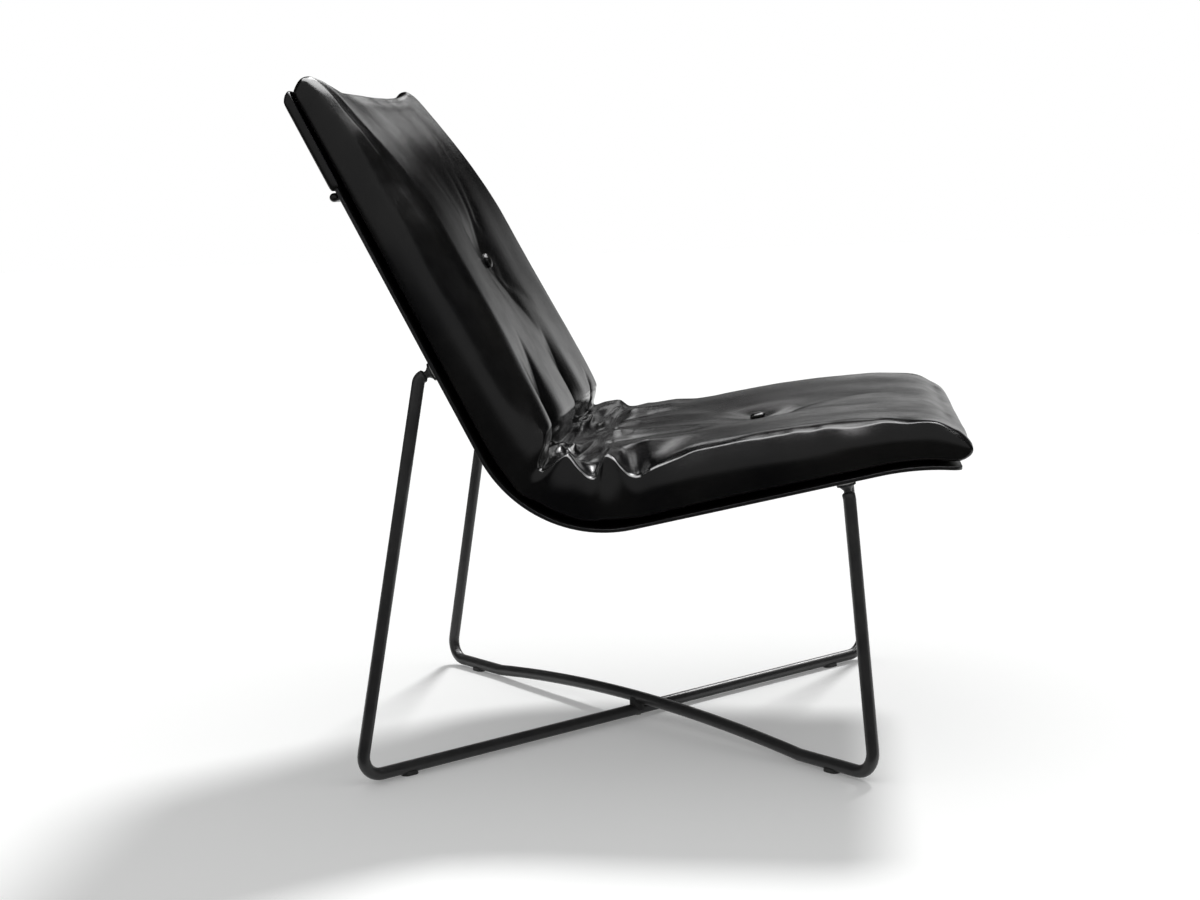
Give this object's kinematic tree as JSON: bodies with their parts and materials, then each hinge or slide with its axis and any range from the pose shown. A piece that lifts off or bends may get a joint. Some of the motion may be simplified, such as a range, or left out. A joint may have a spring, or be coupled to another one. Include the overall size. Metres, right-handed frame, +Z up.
{
  "type": "lounge chair",
  "caption": "Low armless lounge chair: a bent sheet shell on crossed bent-rod legs carries a loose buttoned black leather pad with a pocket over the top edge.",
  "frame": {"origin": "on the floor, under the middle of the chair's overall plan", "axes": "+X to the sitter's left, -Y to the front of the seat, +Z up"},
  "size_m": [0.6274, 0.76, 0.8169],
  "materials": {
    "shell_lacquer": "satin black lacquer",
    "rod_black": "satin black powder coat",
    "zinc_steel": "zinc plated",
    "grey_nylon": "matt",
    "black_plastic": "matt",
    "black_rubber": "matt",
    "black_leather": "semi-gloss, fine grain",
    "lining": "woven",
    "filling": "soft wadding",
    "twine": "twisted"
  },
  "bodies": {
    "root": {"seat_shell": "shell_lacquer", "base_rod_low": "rod_black", "base_rod_arched": "rod_black", "crossing_saddle": "black_rubber", "crossing_screw": "zinc_steel", "mount_boss_rear_right": "rod_black", "mount_boss_rear_left": "rod_black", "mount_boss_front_right": "rod_black", "mount_boss_front_left": "rod_black", "mount_washer_rear_right": "grey_nylon", "mount_washer_rear_left": "grey_nylon", "mount_washer_front_right": "grey_nylon", "mount_washer_front_left": "grey_nylon", "mount_screw_rear_right": "zinc_steel", "mount_screw_rear_left": "zinc_steel", "mount_screw_front_right": "zinc_steel", "mount_screw_front_left": "zinc_steel", "foot_glide_rear_right": "black_plastic", "foot_glide_rear_left": "black_plastic", "foot_glide_front_right": "black_plastic", "foot_glide_front_left": "black_plastic", "pad_cover": "black_leather", "pad_base_panel": "lining", "back_filling": "filling", "seat_filling": "filling", "back_button": "black_leather", "back_button_tie": "twine", "back_button_anchor": "black_plastic", "seat_button": "black_leather", "seat_button_tie": "twine", "seat_button_anchor": "black_plastic", "rear_pocket": "black_leather", "pocket_hem": "black_leather"}
  },
  "joints": []
}
